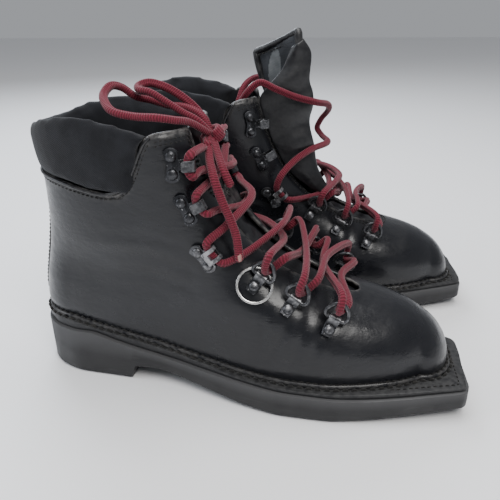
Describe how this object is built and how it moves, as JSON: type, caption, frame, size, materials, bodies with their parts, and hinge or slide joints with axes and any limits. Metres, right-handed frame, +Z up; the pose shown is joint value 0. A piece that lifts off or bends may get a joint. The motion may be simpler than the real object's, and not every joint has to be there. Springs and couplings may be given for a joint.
{
  "type": "ski boots",
  "caption": "Pair of lace-up leather ski touring boots with padded collars, hook and D-ring lacing, stitched welts and square three-pin toes.",
  "frame": {"origin": "middle of the pair's bounding box, on the floor", "axes": "+X towards the toes, +Y towards the left boot, +Z up"},
  "size_m": [0.3468, 0.2552, 0.24],
  "materials": {
    "leather": "smooth black full-grain leather with a satin polish and worn edges",
    "collar": "charcoal woven fabric over soft foam",
    "tongue": "grey brushed lining inside, black leather outside",
    "rubber": "black rubber, satin with scuffs",
    "welt": "black stitched welt and midsole",
    "board": "pressed leather board",
    "steel": "bright steel wire",
    "hardware": "black enamelled steel, worn to grey",
    "lace": "dark red braided round lace"
  },
  "bodies": {
    "right_boot": {"right_outsole": "rubber", "right_midsole": "welt", "right_shank": "steel", "right_insole": "board", "right_upper": "leather", "right_collar": "collar", "right_heel_counter": "board", "right_toe_puff": "board", "right_backstay": "leather", "right_outer_clip_1": "hardware", "right_outer_clip_2": "hardware", "right_outer_clip_3": "hardware", "right_outer_hook_1": "hardware", "right_outer_hook_2": "hardware", "right_outer_hook_3": "hardware", "right_inner_clip_1": "hardware", "right_inner_clip_2": "hardware", "right_inner_clip_3": "hardware", "right_inner_hook_1": "hardware", "right_inner_hook_2": "hardware", "right_inner_hook_3": "hardware", "right_tongue": "tongue", "right_lacing": "lace", "right_lace_bow": "lace"},
    "left_boot": {"left_outsole": "rubber", "left_midsole": "welt", "left_shank": "steel", "left_insole": "board", "left_upper": "leather", "left_collar": "collar", "left_heel_counter": "board", "left_toe_puff": "board", "left_backstay": "leather", "left_outer_clip_1": "hardware", "left_outer_clip_2": "hardware", "left_outer_clip_3": "hardware", "left_outer_hook_1": "hardware", "left_outer_hook_2": "hardware", "left_outer_hook_3": "hardware", "left_inner_clip_1": "hardware", "left_inner_clip_2": "hardware", "left_inner_clip_3": "hardware", "left_inner_hook_1": "hardware", "left_inner_hook_2": "hardware", "left_inner_hook_3": "hardware", "left_lacing": "lace"},
    "left_tongue": {"left_tongue": "tongue"},
    "key_ring": {"right_key_ring": "steel"},
    "right_outer_d_ring_1": {"right_outer_d_ring_1": "hardware"},
    "right_outer_d_ring_2": {"right_outer_d_ring_2": "hardware"},
    "right_outer_d_ring_3": {"right_outer_d_ring_3": "hardware"},
    "right_inner_d_ring_1": {"right_inner_d_ring_1": "hardware"},
    "right_inner_d_ring_2": {"right_inner_d_ring_2": "hardware"},
    "right_inner_d_ring_3": {"right_inner_d_ring_3": "hardware"},
    "left_outer_d_ring_1": {"left_outer_d_ring_1": "hardware"},
    "left_outer_d_ring_2": {"left_outer_d_ring_2": "hardware"},
    "left_outer_d_ring_3": {"left_outer_d_ring_3": "hardware"},
    "left_inner_d_ring_1": {"left_inner_d_ring_1": "hardware"},
    "left_inner_d_ring_2": {"left_inner_d_ring_2": "hardware"},
    "left_inner_d_ring_3": {"left_inner_d_ring_3": "hardware"}
  },
  "joints": [
    {"name": "left_boot_lift", "type": "slide", "parent": "right_boot", "child": "left_boot", "axis": [0, 0, 1], "range_m": [0, 0.3]},
    {"name": "left_tongue_fold", "type": "hinge", "parent": "left_boot", "child": "left_tongue", "pos_m": [0.05713, 0.06943, 0.084], "axis": [-0.0906, 0.9959, 0], "range_deg": [0, 25], "deforming": ["left_lacing"]},
    {"name": "right_outer_d_ring_1_swing", "type": "hinge", "parent": "right_boot", "child": "right_outer_d_ring_1", "pos_m": [0.00332, -0.1054, 0.09801], "axis": [0.8228, -0.2212, -0.5235], "range_deg": [-8, 60], "deforming": ["right_lacing"]},
    {"name": "right_outer_d_ring_2_swing", "type": "hinge", "parent": "right_boot", "child": "right_outer_d_ring_2", "pos_m": [0.02586, -0.10988, 0.085], "axis": [0.8421, -0.2179, -0.4933], "range_deg": [-8, 60], "deforming": ["right_lacing"]},
    {"name": "right_outer_d_ring_3_swing", "type": "hinge", "parent": "right_boot", "child": "right_outer_d_ring_3", "pos_m": [0.05196, -0.11134, 0.07297], "axis": [0.9032, -0.0734, -0.4229], "range_deg": [-8, 60], "deforming": ["right_lacing"]},
    {"name": "right_inner_d_ring_1_swing", "type": "hinge", "parent": "right_boot", "child": "right_inner_d_ring_1", "pos_m": [0.00993, -0.03015, 0.09783], "axis": [-0.8489, 0.0187, 0.5282], "range_deg": [-8, 60], "deforming": ["right_lacing"]},
    {"name": "right_inner_d_ring_2_swing", "type": "hinge", "parent": "right_boot", "child": "right_inner_d_ring_2", "pos_m": [0.03288, -0.03132, 0.08518], "axis": [-0.8664, -0.0902, 0.4912], "range_deg": [-8, 60], "deforming": ["right_lacing"]},
    {"name": "right_inner_d_ring_3_swing", "type": "hinge", "parent": "right_boot", "child": "right_inner_d_ring_3", "pos_m": [0.05924, -0.03226, 0.07301], "axis": [-0.907, -0.0127, 0.421], "range_deg": [-8, 60], "deforming": ["right_lacing"]},
    {"name": "left_outer_d_ring_1_swing", "type": "hinge", "parent": "left_boot", "child": "left_outer_d_ring_1", "pos_m": [0.02972, 0.1054, 0.09801], "axis": [-0.8228, -0.2212, 0.5235], "range_deg": [-8, 60], "deforming": ["left_lacing"]},
    {"name": "left_outer_d_ring_2_swing", "type": "hinge", "parent": "left_boot", "child": "left_outer_d_ring_2", "pos_m": [0.05226, 0.10988, 0.085], "axis": [-0.8421, -0.2179, 0.4933], "range_deg": [-8, 60], "deforming": ["left_lacing"]},
    {"name": "left_outer_d_ring_3_swing", "type": "hinge", "parent": "left_boot", "child": "left_outer_d_ring_3", "pos_m": [0.07836, 0.11134, 0.07297], "axis": [-0.9032, -0.0734, 0.4229], "range_deg": [-8, 60], "deforming": ["left_lacing"]},
    {"name": "left_inner_d_ring_1_swing", "type": "hinge", "parent": "left_boot", "child": "left_inner_d_ring_1", "pos_m": [0.03633, 0.03015, 0.09783], "axis": [0.8489, 0.0187, -0.5282], "range_deg": [-8, 60], "deforming": ["left_lacing"]},
    {"name": "left_inner_d_ring_2_swing", "type": "hinge", "parent": "left_boot", "child": "left_inner_d_ring_2", "pos_m": [0.05928, 0.03132, 0.08518], "axis": [0.8664, -0.0902, -0.4912], "range_deg": [-8, 60], "deforming": ["left_lacing"]},
    {"name": "left_inner_d_ring_3_swing", "type": "hinge", "parent": "left_boot", "child": "left_inner_d_ring_3", "pos_m": [0.08564, 0.03226, 0.07301], "axis": [0.907, -0.0127, -0.421], "range_deg": [-8, 60], "deforming": ["left_lacing"]},
    {"name": "key_ring_swing", "type": "hinge", "parent": "right_boot", "child": "key_ring", "pos_m": [0.00555, -0.10177, 0.09999], "axis": [-0.8228, 0.2212, 0.5235], "range_deg": [0, 8], "deforming": ["right_lacing"]}
  ]
}
